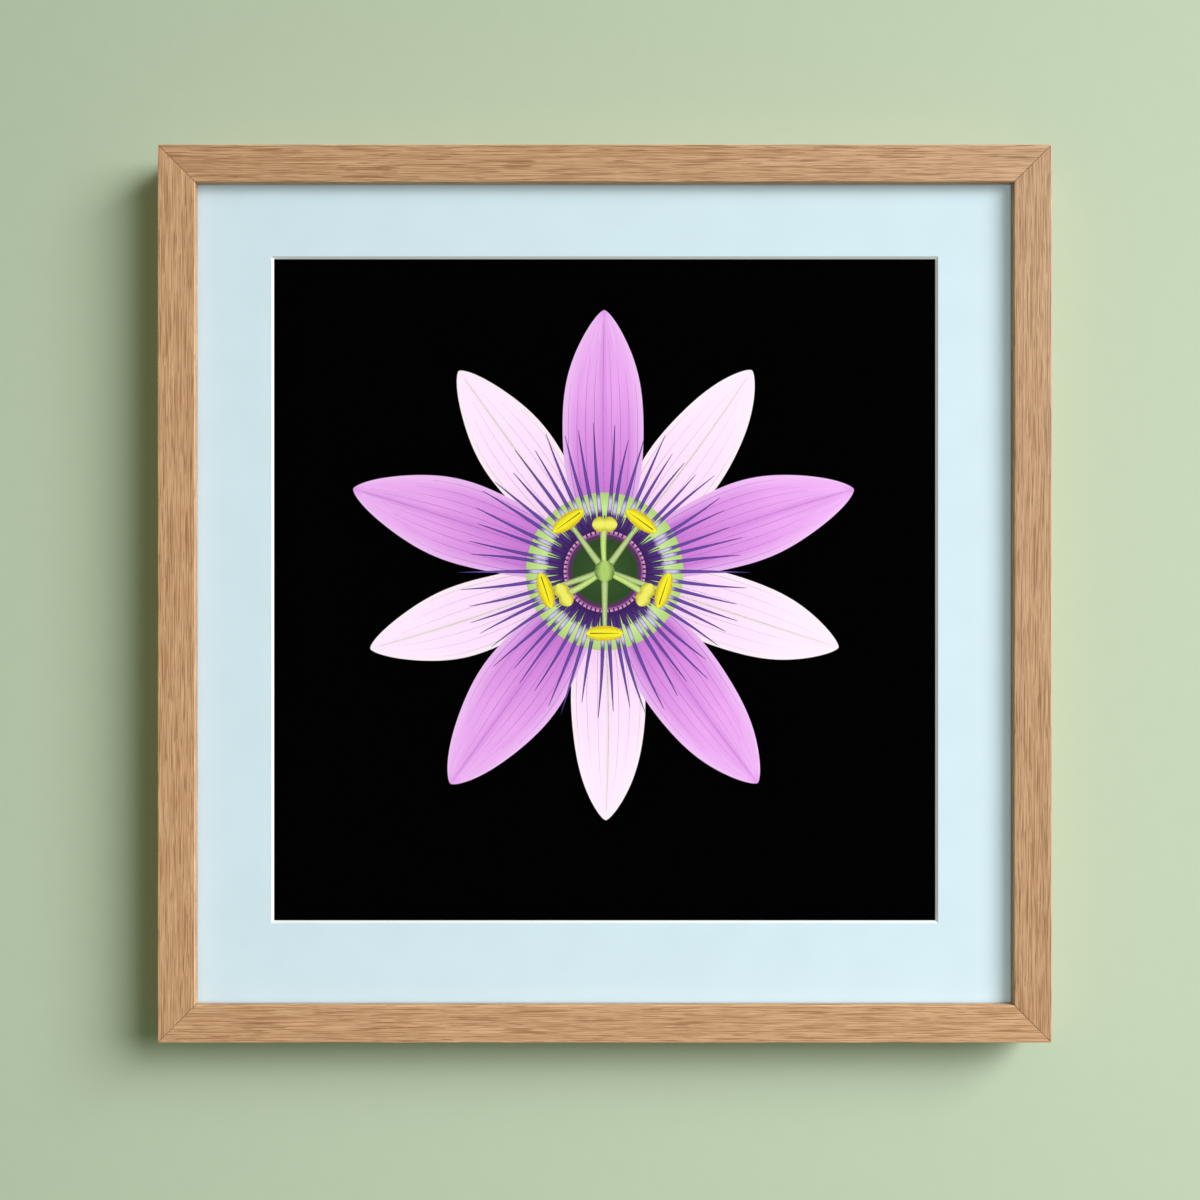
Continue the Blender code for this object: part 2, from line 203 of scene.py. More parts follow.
def mix(tree, factor, first, second, blend="MIX"):
    """Mix two colours, each a socket or a linear colour."""
    made = tree.nodes.new("ShaderNodeMix")
    made.data_type = "RGBA"
    made.blend_type = blend
    for index, value in ((0, factor), (6, first), (7, second)):
        if isinstance(value, bpy.types.NodeSocket):
            tree.links.new(value, made.inputs[index])
        elif index == 0:
            made.inputs[index].default_value = value
        else:
            made.inputs[index].default_value = (*value, 1.0)
    return made.outputs[2]


def mix_shaders(tree, factor, first, second):
    return node(tree, "ShaderNodeMixShader", {0: factor, 1: first, 2: second}).outputs["Shader"]


def bump(tree, shader, height, distance, strength):
    values = {"Height": height, "Distance": distance, "Strength": strength}
    tree.links.new(node(tree, "ShaderNodeBump", values).outputs["Normal"], shader.inputs["Normal"])


def paint(tree, shader, colour):
    tree.links.new(colour, shader.inputs["Base Color"])


def facing_front(tree):
    """1 on faces turned to the front of the picture, 0 on the rest."""
    normal = node(tree, "ShaderNodeNewGeometry").outputs["Normal"]
    towards = node(tree, "ShaderNodeSeparateXYZ", {"Vector": normal}).outputs["Y"]
    return math_node(tree, "LESS_THAN", towards, -0.95)


def cover(names, material):
    """Give the named pieces of the frame a finish."""
    for name in names:
        slots = NODES[name].data.materials
        slots.clear()
        slots.append(material)


def nodes_called(start):
    return sorted(name for name in NODES if name.startswith(start))


# ---------------------------------------------------------------- frame, mat and glass finishes


def oak(name, turn, offset, lamp_offset_tone, colours):
    """Lacquered oak with straight, open grain along X, or along Z after a quarter turn about Y.

    Each rail's colour is scaled by its own factor, which offsets how unevenly the key lamp lights the
    rails: painted shade on the top and right rails, painted light on the bottom and left. The sides, the
    lip, the back and the eased edges are painted paler than the face, as painted light on the lips and a
    painted highlight along the edges.
    """
    material, tree, shader = finish(name, {"Roughness": 0.5, "Specular IOR Level": 0.35})
    laid = stretched(tree, coordinates(tree), (1, 1, 1), (0, turn, 0), offset)
    long_waves = stretched(tree, laid, (8, 24, 24))
    wander = node(tree, "ShaderNodeTexNoise", {"Vector": long_waves, "Detail": 1.0})
    shift = node(
        tree, "ShaderNodeVectorMath",
        {0: wander.outputs["Color"], 1: (0.0, 0.8 * MM, 0.8 * MM)}, operation="MULTIPLY",
    ).outputs["Vector"]
    grain = node(tree, "ShaderNodeVectorMath", {0: laid, 1: shift}, operation="ADD").outputs["Vector"]
    bands = noise(tree, stretched(tree, grain, (5, 130, 130)), detail=1.0)
    fibres = noise(tree, stretched(tree, grain, (36, 2100, 2100)), detail=2.0, roughness=0.6)
    lines = noise(tree, stretched(tree, grain, (25, 2300, 2300), location=(7, 3, 5)), detail=0.0)
    pores = noise(tree, stretched(tree, grain, (75, 2600, 2600)), detail=0.0)
    colour = mix(tree, rescale(tree, fibres, 0.34, 0.64), colours.oak_dark[:], colours.oak_light[:])
    colour = mix(tree, rescale(tree, lines, 0.55, 0.65, 0.0, 0.9), colour, colours.oak_streak[:])
    open_pores = rescale(tree, pores, 0.61, 0.7, 0.0, 0.55)
    colour = mix(tree, open_pores, colour, colours.oak_pore[:])
    # The rail's factor scales both band colours: painted shade or painted light that offsets the key
    # lamp.
    light = (lamp_offset_tone,) * 3
    shade = (0.965 * lamp_offset_tone, 0.955 * lamp_offset_tone, 0.94 * lamp_offset_tone)
    banding = mix(tree, rescale(tree, bands, 0.35, 0.65), shade, light)
    colour = mix(tree, 1.0, colour, banding, "MULTIPLY")
    # Painted light: the sides, the lip, the back and the eased edges are painted paler than the face,
    # standing in for the lit lips and a highlight along the edges.
    painted_light_tint = (1.3, 1.29, 1.27)
    painted_light_sides = mix(tree, 1.0, colour, painted_light_tint, "MULTIPLY")
    paint(tree, shader, mix(tree, facing_front(tree), painted_light_sides, colour))
    height = math_node(tree, "ADD", math_node(tree, "MULTIPLY", open_pores, -1.0), fibres)
    bump(tree, shader, height, 0.04 * MM, 0.5)
    return material


def mat_board(colours):
    """Mat board: a tinted facing paper in front and a white core on the bevel and the cut edges."""
    material, tree, shader = finish("mat_board", {"Roughness": 0.92, "Specular IOR Level": 0.15})
    place = coordinates(tree)
    fibre = noise(tree, place, scale=1400.0, detail=3.0)
    cloud = noise(tree, place, scale=35.0, detail=2.0)
    dimmer = tuple(0.965 * value for value in colours.mat_face)
    face = mix(tree, rescale(tree, cloud, 0.3, 0.7, 0.35, 1.0), dimmer, colours.mat_face[:])
    face = mix(tree, rescale(tree, fibre, 0.55, 0.8, 0.0, 0.25), face, (1.0, 1.0, 1.0))
    paint(tree, shader, mix(tree, facing_front(tree), colours.mat_core[:], face))
    bump(tree, shader, fibre, 0.02 * MM, 0.5)
    return material


def clear_glass():
    """Picture glass with a coating that keeps it from mirroring the room. Lamps shine through it."""
    material, tree, shader = finish("clear_glass", {
        "Base Color": (0.985, 0.995, 0.99, 1.0), "Roughness": 0.0, "IOR": 1.5,
        "Transmission Weight": 1.0, "Specular Tint": (0.03, 0.03, 0.04, 1.0),
    })
    rays = node(tree, "ShaderNodeLightPath").outputs
    clear = node(tree, "ShaderNodeBsdfTransparent", {"Color": (0.98, 0.99, 0.985, 1.0)}).outputs["BSDF"]
    lit = mix_shaders(tree, rays["Is Shadow Ray"], shader.outputs["BSDF"], clear)
    joined = mix_shaders(tree, rays["Is Diffuse Ray"], lit, clear)
    tree.links.new(joined, tree.nodes["Material Output"].inputs["Surface"])
    return material


# ---------------------------------------------------------------- paper, ink and board finishes


def print_paper(colours):
    """Matt art paper, black with ink in front and bare on its edges and back."""
    material, tree, shader = finish("print_paper", {"Roughness": 0.9, "Specular IOR Level": 0.0})
    fibre = noise(tree, coordinates(tree), scale=1800.0, detail=3.0)
    thin_ink = (0.0008, 0.0008, 0.0008)
    ground = mix(tree, rescale(tree, fibre, 0.5, 0.8, 0.0, 0.2), colours.ground[:], thin_ink)
    paint(tree, shader, mix(tree, facing_front(tree), from_srgb(240, 238, 230), ground))
    bump(tree, shader, fibre, 0.01 * MM, 0.5)
    return material


def ink(name):
    """Matt ink on paper, to be painted by the caller."""
    return finish(name, {"Roughness": 0.85, "Specular IOR Level": 0.12})


def across_and_along(tree):
    """How far a point is from a blade's midline, 0 to 1, and how far along the blade, 0 to 1."""
    split = node(tree, "ShaderNodeSeparateXYZ", {"Vector": coordinates(tree, "UV")})
    doubled = math_node(tree, "MULTIPLY_ADD", split.outputs["X"], 2.0)
    doubled.node.inputs[2].default_value = -1.0
    return math_node(tree, "ABSOLUTE", doubled), split.outputs["Y"]


def brush_streaks(tree, count, low, high):
    """Fine streaks that run along a blade."""
    drawn_out = stretched(tree, coordinates(tree, "UV"), (count, 2.2, 1))
    streak = noise(tree, drawn_out, detail=3.0, roughness=0.6)
    return rescale(tree, streak, 0.4, 0.7, low, high)


def petal_ink(colours):
    """Violet, deeper towards the flower's middle, lighter at the rim, with fine streaks."""
    material, tree, shader = ink("petal_ink")
    across, along = across_and_along(tree)
    violet = colours.petal[:]
    colour = ramp(tree, along, (
        (0.0, from_srgb(172, 91, 182)), (0.2, from_srgb(208, 131, 214)),
        (0.42, violet), (0.8, from_srgb(233, 172, 234)), (1.0, from_srgb(217, 142, 221)),
    ))
    colour = mix(tree, brush_streaks(tree, 26, 0.0, 0.35), colour, from_srgb(208, 127, 212))
    colour = mix(tree, rescale(tree, across, 0.62, 1.0, 0.0, 0.55), colour, from_srgb(234, 193, 236))
    colour = mix(tree, rescale(tree, across, 0.0, 0.22, 0.35, 0.0), colour, from_srgb(193, 108, 201))
    paint(tree, shader, colour)
    return material


def sepal_ink(colours):
    """Pale pink, greenish along the keel and at the tip."""
    material, tree, shader = ink("sepal_ink")
    across, along = across_and_along(tree)
    colour = ramp(tree, along, (
        (0.0, from_srgb(227, 183, 220)), (0.25, from_srgb(248, 211, 244)),
        (0.5, colours.sepal[:]), (0.9, from_srgb(250, 225, 247)), (1.0, from_srgb(222, 221, 179)),
    ))
    colour = mix(tree, brush_streaks(tree, 22, 0.0, 0.3), colour, from_srgb(245, 205, 239))
    colour = mix(tree, rescale(tree, across, 0.7, 1.0, 0.0, 0.5), colour, from_srgb(238, 227, 220))
    colour = mix(tree, rescale(tree, across, 0.0, 0.12, 0.4, 0.0), colour, from_srgb(208, 210, 173))
    paint(tree, shader, colour)
    return material


def filament_ink(colours):
    """Dark at the foot, a narrow pale band, then purple to the tip, and darker along both rims."""
    material, tree, shader = ink("filament_ink")
    across, along = across_and_along(tree)
    purple = colours.filament[:]
    colour = ramp(tree, along, (
        (0.0, from_srgb(54, 26, 86)), (0.16, from_srgb(79, 45, 126)), (0.21, from_srgb(194, 177, 219)),
        (0.28, from_srgb(202, 189, 223)), (0.34, purple), (0.75, purple), (1.0, from_srgb(48, 30, 98)),
    ))
    rim = rescale(tree, across, 0.45, 1.0, 0.0, 0.8)
    paint(tree, shader, mix(tree, rim, colour, from_srgb(43, 22, 83)))
    return material


def disc_ink(middle, colour_stops):
    """Rings of colour round the flower's middle, by distance in metres from it."""
    material, tree, shader = ink("disc_ink")
    centred = stretched(tree, coordinates(tree), (1, 0, 1), location=(-middle.x, 0, -middle.z))
    distance = node(tree, "ShaderNodeVectorMath", {0: centred}, operation="LENGTH").outputs["Value"]
    largest = colour_stops[-1][0]
    stops = [(radius / largest, colour) for radius, colour in colour_stops]
    colour = ramp(tree, math_node(tree, "DIVIDE", distance, largest), stops)
    paint(tree, shader, colour)
    return material


def rounded_ink(name, middle, rim, speckle):
    """A colour that darkens towards a blade's rim, with a fine speckle, as if modelled in paint."""
    material, tree, shader = ink(name)
    across, _along = across_and_along(tree)
    grain = noise(tree, coordinates(tree), scale=1600.0, detail=2.0)
    colour = mix(tree, rescale(tree, across, 0.25, 1.0), middle, rim)
    paint(tree, shader, mix(tree, rescale(tree, grain, 0.52, 0.7, 0.0, 0.5), colour, speckle))
    return material


def line_ink(name, colour):
    """Plain ink for drawn lines, a little uneven."""
    material, tree, shader = ink(name)
    grain = noise(tree, coordinates(tree), scale=700.0, detail=2.0)
    darker = tuple(0.8 * value for value in colour)
    paint(tree, shader, mix(tree, rescale(tree, grain, 0.4, 0.65), darker, colour))
    return material


def hardboard():
    """Pressed brown fibre board with pale flecks."""
    material, tree, shader = finish("hardboard", {"Roughness": 0.7, "Specular IOR Level": 0.3})
    place = coordinates(tree)
    pulp = noise(tree, place, scale=130.0, detail=6.0, roughness=0.75)
    fleck = noise(tree, stretched(tree, place, (240, 240, 900)), detail=3.0, roughness=0.7)
    colour = mix(tree, rescale(tree, pulp, 0.3, 0.7), from_srgb(132, 92, 58), from_srgb(154, 113, 74))
    colour = mix(tree, rescale(tree, fleck, 0.58, 0.74, 0.0, 0.6), colour, from_srgb(190, 154, 110))
    dark = noise(tree, stretched(tree, place, (700, 700, 260)), detail=2.0)
    colour = mix(tree, rescale(tree, dark, 0.6, 0.74, 0.0, 0.6), colour, from_srgb(90, 58, 34))
    paint(tree, shader, colour)
    bump(tree, shader, fleck, 0.05 * MM, 0.5)
    return material


def white_board():
    """Uncoated white board."""
    material, tree, shader = finish("white_board", {"Roughness": 0.92, "Specular IOR Level": 0.15})
    fibre = noise(tree, coordinates(tree), scale=900.0, detail=3.0)
    paint(tree, shader, mix(tree, fibre, from_srgb(232, 229, 220), from_srgb(243, 241, 234)))
    bump(tree, shader, fibre, 0.02 * MM, 0.5)
    return material


def linen_tape():
    """White linen tape in a plain weave of half millimetre threads, with painted shade in the hollows.
    """
    material, tree, shader = finish("linen_tape", {"Roughness": 0.95, "Sheen Weight": 0.2})
    thread = 0.5 * MM
    turns = stretched(tree, coordinates(tree), (2 * math.pi / (2 * thread),) * 3)
    waves = node(tree, "ShaderNodeSeparateXYZ", {"Vector": turns}).outputs
    weave = math_node(
        tree, "MULTIPLY", math_node(tree, "SINE", waves["X"]), math_node(tree, "SINE", waves["Z"]),
    )
    # Painted shade: the weave's hollows are painted darker than the crowns of the threads.
    shaded_hollow, crown = from_srgb(206, 202, 190), from_srgb(240, 237, 226)
    paint(tree, shader, mix(tree, rescale(tree, weave, -1.0, 1.0), shaded_hollow, crown))
    bump(tree, shader, weave, 0.05 * MM, 0.6)
    return material


def worn_metal(name, bright, dull, roughness, brush):
    """Sheet metal with brushed lines and dull patches. brush gives the lines' scale on each axis."""
    material, tree, shader = finish(name, {"Metallic": 1.0})
    place = coordinates(tree)
    lines = noise(tree, stretched(tree, place, brush), detail=2.0)
    patches = noise(tree, place, scale=260.0, detail=3.0)
    paint(tree, shader, mix(tree, rescale(tree, patches, 0.42, 0.66, 0.0, 0.8), bright, dull))
    rough = rescale(tree, patches, 0.35, 0.7, roughness, roughness + 0.22)
    tree.links.new(rough, shader.inputs["Roughness"])
    bump(tree, shader, lines, 0.01 * MM, 0.5)
    return material


def soft_rubber():
    """Clear, slightly milky soft plastic."""
    material, tree, shader = finish("soft_rubber", {
        "Roughness": 0.3, "Subsurface Weight": 0.5, "Subsurface Scale": 1.5 * MM,
        "Subsurface Radius": (1.0, 1.0, 0.9), "Coat Weight": 0.3, "Coat Roughness": 0.2,
    })
    haze = noise(tree, coordinates(tree), scale=500.0, detail=2.0)
    paint(tree, shader, mix(tree, haze, from_srgb(214, 218, 214), from_srgb(236, 238, 234)))
    return material


# ---------------------------------------------------------------- drawing in ink


class Blade:
    """A flat shape laid out along a line from a middle, such as a tepal, a filament or an anther."""

    def __init__(self, middle, angle, start, reach, half_width, lean=0.0):
        self.middle = middle
        self.out = Vector((math.cos(angle), 0, math.sin(angle)))
        self.side = Vector((-math.sin(angle), 0, math.cos(angle)))
        self.start = start
        self.reach = reach
        self.half_width = half_width
        self.lean = lean

    def point(self, along, sideways):
        """The place a share of the way along and a distance off the midline."""
        distance = self.start + (self.reach - self.start) * along
        drift = self.lean * math.sin(math.pi * 0.9 * along)
        return self.middle + self.out * distance + self.side * (sideways + drift)

    def lay(self, along, across):
        """The place a share of the way along and, from -1 to 1, across."""
        return self.point(along, across * self.half_width(along))

    def line(self, share, first, last, thickness):
        """A layout for a line that keeps to a share of the half width and thins out to its end."""

        def lay(along, across):
            where = first + (last - first) * along
            off_line = across * thickness / 2 * max(1 - along, 0.08) ** 0.5
            return self.point(where, share * self.half_width(where) + off_line)

        return lay


def round_layout(blade):
    """A layout for ellipses that spaces the steps along so that both round ends are smooth."""

    def lay(along, across):
        return blade.lay((1 - math.cos(math.pi * along)) / 2, across)

    return lay


def draw(bm, lay, across_steps, along_steps, bunch=1.0):
    """Lay a grid of faces out flat. Steps bunch up towards the far end as bunch grows past 1."""
    grid = bmesh.ops.create_grid(
        bm, x_segments=across_steps, y_segments=along_steps, size=0.5, calc_uvs=True,
    )
    for vert in grid["verts"]:
        along = 1 - (1 - min(max(vert.co.y + 0.5, 0.0), 1.0)) ** bunch
        vert.co = lay(along, vert.co.x * 2)


def new_drawing():
    bm = bmesh.new()
    bm.loops.layers.uv.new("drawn")
    return bm


def print_layer(name, bm, layer, material):
    """Turn flat faces into a thin layer of ink on the sheet, and make it part of the picture."""
    bmesh.ops.remove_doubles(bm, verts=bm.verts, dist=0.002 * MM)
    front = SHEET_FRONT - INK_STEP * (layer + 1)
    bmesh.ops.translate(bm, verts=bm.verts, vec=(0, front, 0))
    grown = bmesh.ops.extrude_face_region(bm, geom=bm.faces[:], use_keep_orig=True)
    behind = [item for item in grown["geom"] if isinstance(item, bmesh.types.BMVert)]
    bmesh.ops.translate(bm, verts=behind, vec=(0, INK_THICKNESS, 0))
    bmesh.ops.recalc_face_normals(bm, faces=bm.faces)
    add_piece(name, bm, material)


def add_piece(name, bm, material):
    """Make a piece of the picture from a bmesh."""
    mesh = bpy.data.meshes.new(name)
    bm.to_mesh(mesh)
    bm.free()
    mesh.materials.append(material)
    piece = bpy.data.objects.new(name, mesh)
    bpy.context.scene.collection.objects.link(piece)
    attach(piece, "root")


def flower_middle(sizes):
    return Vector((SHEET_MIDDLE.x, 0, SHEET_MIDDLE.z + sizes.rise))


def tepal_outline(width, ripple):
    """Half width of a petal or sepal along its length: narrow at the claw, full past the middle."""

    def half_width(along):
        swell = max(math.sin(math.pi * (0.2 + 0.8 * along) ** 1.25), 0.0) ** 0.7
        return width / 2 * swell * (1 + 0.018 * math.sin(11 * along + ripple))

    return half_width


def round_outline(width):
    """Half width of an ellipse along its length."""

    def half_width(along):
        return width / 2 * math.sqrt(max(1 - (2 * along - 1) ** 2, 0.0))

    return half_width


def pointed(width):
    """Half width of a filament: even at first, then narrowing to a fine point."""

    def half_width(along):
        return width / 2 * (1 - 0.92 * along ** 1.3)

    return half_width


def two_lobed(width):
    """Half width of a stigma: an ellipse with a waist half way along."""

    def half_width(along):
        waist = 1 - 0.3 * math.exp(-((along - 0.5) / 0.13) ** 2)
        return width / 2 * waist * math.sqrt(max(1 - (2 * along - 1) ** 2, 0.0))

    return half_width


def taper(foot, tip):
    """Half width that runs evenly from the foot to the tip."""

    def half_width(along):
        return (foot + (tip - foot) * along) / 2

    return half_width


def tepals(sizes, first_angle, reach, width, seed):
    """Five tepals, a fifth of a turn apart, each a little unlike the others."""
    chance = random.Random(seed)
    middle = flower_middle(sizes)
    made = []
    for number in range(5):
        angle = first_angle + number * FIFTH_OF_TURN
        outline = tepal_outline(width * chance.uniform(0.97, 1.03), chance.uniform(0, 6))
        own_reach = reach * chance.uniform(0.985, 1.0)
        lean = chance.uniform(-2.5, 2.5) * MM
        made.append(Blade(middle, angle, sizes.throat_radius, own_reach, outline, lean))
    return made


def draw_tepals(blades):
    bm = new_drawing()
    for blade in blades:
        draw(bm, blade.lay, 12, 44, bunch=1.8)
    return bm


def draw_veins(blades, thickness, pairs):
    """A midrib and pairs of veins that fan out to each side of it."""
    bm = new_drawing()
    for blade in blades:
        draw(bm, blade.line(0.0, 0.05, 0.95, thickness * 1.4), 1, 30)
        for pair in range(1, pairs + 1):
            share = 0.86 * pair / pairs
            for side in (-1, 1):
                draw(bm, blade.line(side * share, 0.08, 0.93 - 0.3 * share, thickness), 1, 30)
    return bm


# ---------------------------------------------------------------- operators


class FinishOperator:
    """What the add-on's operators share."""

    bl_options = {"REGISTER", "UNDO"}


class FRAMEDPRINT_OT_rails(FinishOperator, bpy.types.Operator):
    """Finish the four oak rails, each cut from its own length of wood and painted darker or lighter to
    offset the key lamp
    """

    bl_idname = "framed_print.rails"
    bl_label = "Oak rails"

    # Painted shade on the top and right rails and painted light on the bottom and left, offsetting how
    # unevenly the key lamp lights them.
    turn_and_lamp_offset_tone = {
        "top": (0.0, 0.97),
        "bottom": (0.0, 1.04),
        "left": (RIGHT_ANGLE, 1.06),
        "right": (RIGHT_ANGLE, 0.93),
    }
    grain_step = (0.9, 0.31, 0.17)  # from where one rail's grain is taken to the next one's

    def execute(self, context):
        colours = context.scene.framed_print_colours
        for number, (side, (turn, lamp_offset_tone)) in enumerate(self.turn_and_lamp_offset_tone.items()):
            offset = tuple(step * number for step in self.grain_step)
            cover([f"rail_{side}"], oak(f"oak_{side}", turn, offset, lamp_offset_tone, colours))
        return {"FINISHED"}


class FRAMEDPRINT_OT_mitres(FinishOperator, bpy.types.Operator):
    """Fill the four mitres with their line of glue"""

    bl_idname = "framed_print.mitres"
    bl_label = "Mitre joints"

    glue_thickness = 0.26 * MM
    face_inset = 0.175 * MM  # behind the rails' faces
    inset = 0.7 * MM  # from the rails' other surfaces
    glass_gap = 0.3 * MM  # between the lip and the glass
    glass_play = 1 * MM  # between the glass's edge and the rabbet's wall

    def execute(self, context):
        lip_width = FRAME_HIGH.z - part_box("rail_top")[0].z
        wall_width = FRAME_HIGH.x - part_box("glazing")[1].x - self.glass_play
        front = FRAME_LOW.y + self.face_inset
        lip_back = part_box("glazing")[0].y - self.glass_gap
        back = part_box("rail_top")[1].y - self.inset
        outline = (
            (self.inset, front), (lip_width - self.inset, front), (lip_width - self.inset, lip_back),
            (wall_width - self.inset, lip_back), (wall_width - self.inset, back), (self.inset, back),
        )
        glue = line_ink("glue_line", from_srgb(119, 81, 50))
        for up, height in ((1, "top"), (-1, "bottom")):
            for side, word in ((1, "right"), (-1, "left")):
                add_piece(f"mitre_glue_{height}_{word}", self.plate(side, up, outline), glue)
        return {"FINISHED"}

    def plate(self, side, up, outline):
        """A thin plate on a corner's diagonal. The outline gives insets from the corner, and depths."""
        corner_x = FRAME_HIGH.x if side > 0 else FRAME_LOW.x
        corner_z = FRAME_HIGH.z if up > 0 else FRAME_LOW.z
        thickness = Vector((up, 0, -side)).normalized() * self.glue_thickness
        bm = bmesh.new()
        corners = []
        for inset, depth in outline:
            point = Vector((corner_x - side * inset, depth, corner_z - up * inset))
            corners.append(bm.verts.new(point - thickness / 2))
        bm.faces.new(corners)
        grown = bmesh.ops.extrude_face_region(bm, geom=bm.faces[:], use_keep_orig=True)
        far_side = [item for item in grown["geom"] if isinstance(item, bmesh.types.BMVert)]
        bmesh.ops.translate(bm, verts=far_side, vec=thickness)
        bmesh.ops.recalc_face_normals(bm, faces=bm.faces)
        return bm


class FRAMEDPRINT_OT_window_mat(FinishOperator, bpy.types.Operator):
    """Finish the window mat: tinted face, white bevel"""

    bl_idname = "framed_print.window_mat"
    bl_label = "Window mat"

    def execute(self, context):
        cover(["window_mat"], mat_board(context.scene.framed_print_colours))
        return {"FINISHED"}


class FRAMEDPRINT_OT_glass(FinishOperator, bpy.types.Operator):
    """Finish the glass"""

    bl_idname = "framed_print.glass"
    bl_label = "Glass"

    def execute(self, context):
        cover(["glazing"], clear_glass())
        return {"FINISHED"}


class FRAMEDPRINT_OT_sheet(FinishOperator, bpy.types.Operator):
    """Print the sheet's black ground"""

    bl_idname = "framed_print.sheet"
    bl_label = "Print sheet"

    def execute(self, context):
        cover(["print_sheet"], print_paper(context.scene.framed_print_colours))
        return {"FINISHED"}


class FRAMEDPRINT_OT_tepals(FinishOperator, bpy.types.Operator):
    """Draw the five sepals and the five petals over them, with their veins"""

    bl_idname = "framed_print.tepals"
    bl_label = "Petals and sepals"

    vein_width = 0.5 * MM

    def execute(self, context):
        sizes = context.scene.framed_print_sizes
        colours = context.scene.framed_print_colours
        sepals = tepals(sizes, -RIGHT_ANGLE, sizes.sepal_reach, sizes.sepal_width, seed=5)
        petals = tepals(sizes, RIGHT_ANGLE, sizes.petal_reach, sizes.petal_width, seed=8)
        print_layer("printed_sepals", draw_tepals(sepals), 0, sepal_ink(colours))
        sepal_vein = line_ink("sepal_vein_ink", from_srgb(218, 187, 214))
        print_layer("printed_sepal_veins", draw_veins(sepals, self.vein_width, pairs=3), 1, sepal_vein)
        print_layer("printed_petals", draw_tepals(petals), 2, petal_ink(colours))
        petal_vein = line_ink("petal_vein_ink", from_srgb(193, 114, 202))
        print_layer("printed_petal_veins", draw_veins(petals, self.vein_width, pairs=4), 3, petal_vein)
        return {"FINISHED"}


class FRAMEDPRINT_OT_corona(FinishOperator, bpy.types.Operator):
    """Draw the pale disc, the corona's two rings of filaments and the dark throat"""

    bl_idname = "framed_print.corona"
    bl_label = "Corona"

    long_width = 2.9 * MM
    short_foot = 1.0 * MM
    short_tip = 0.6 * MM

    def execute(self, context):
        sizes = context.scene.framed_print_sizes
        colours = context.scene.framed_print_colours
        middle = flower_middle(sizes)
        throat = sizes.throat_radius
        rim = sizes.disc_radius
        rings = disc_ink(middle, (
            (0.0, from_srgb(56, 79, 41)), (throat * 0.78, from_srgb(41, 66, 31)),
            (throat * 0.9, from_srgb(90, 37, 98)), (throat * 1.0, from_srgb(213, 141, 194)),
            (throat * 1.12, from_srgb(141, 179, 90)), (rim * 0.8, from_srgb(194, 217, 141)),
            (rim, from_srgb(168, 196, 111)),
        ))
        bm = new_drawing()
        disc = Blade(middle, 0, -rim, rim, round_outline(2 * rim))
        draw(bm, round_layout(disc), 24, 96)
        print_layer("printed_disc", bm, 4, rings)

        chance = random.Random(21)
        bm = new_drawing()
        for number in range(sizes.filament_count):
            angle = 2 * math.pi * (number + chance.uniform(-0.12, 0.12)) / sizes.filament_count
            reach = sizes.corona_reach * chance.uniform(0.88, 1.0)
            lean = chance.uniform(-1.6, 1.6) * MM
            blade = Blade(middle, angle, throat * 1.02, reach, pointed(self.long_width), lean)
            draw(bm, blade.lay, 4, 18)
        print_layer("printed_long_filaments", bm, 5, filament_ink(colours))

        bm = new_drawing()
        for number in range(sizes.filament_count):
            angle = 2 * math.pi * (number + 0.5) / sizes.filament_count
            reach = throat * chance.uniform(1.4, 1.5)
            blade = Blade(middle, angle, throat * 0.94, reach, taper(self.short_foot, self.short_tip))
            draw(bm, blade.lay, 2, 6)
        dark_purple = line_ink("short_filament_ink", from_srgb(62, 31, 86))
        print_layer("printed_short_filaments", bm, 6, dark_purple)
        return {"FINISHED"}


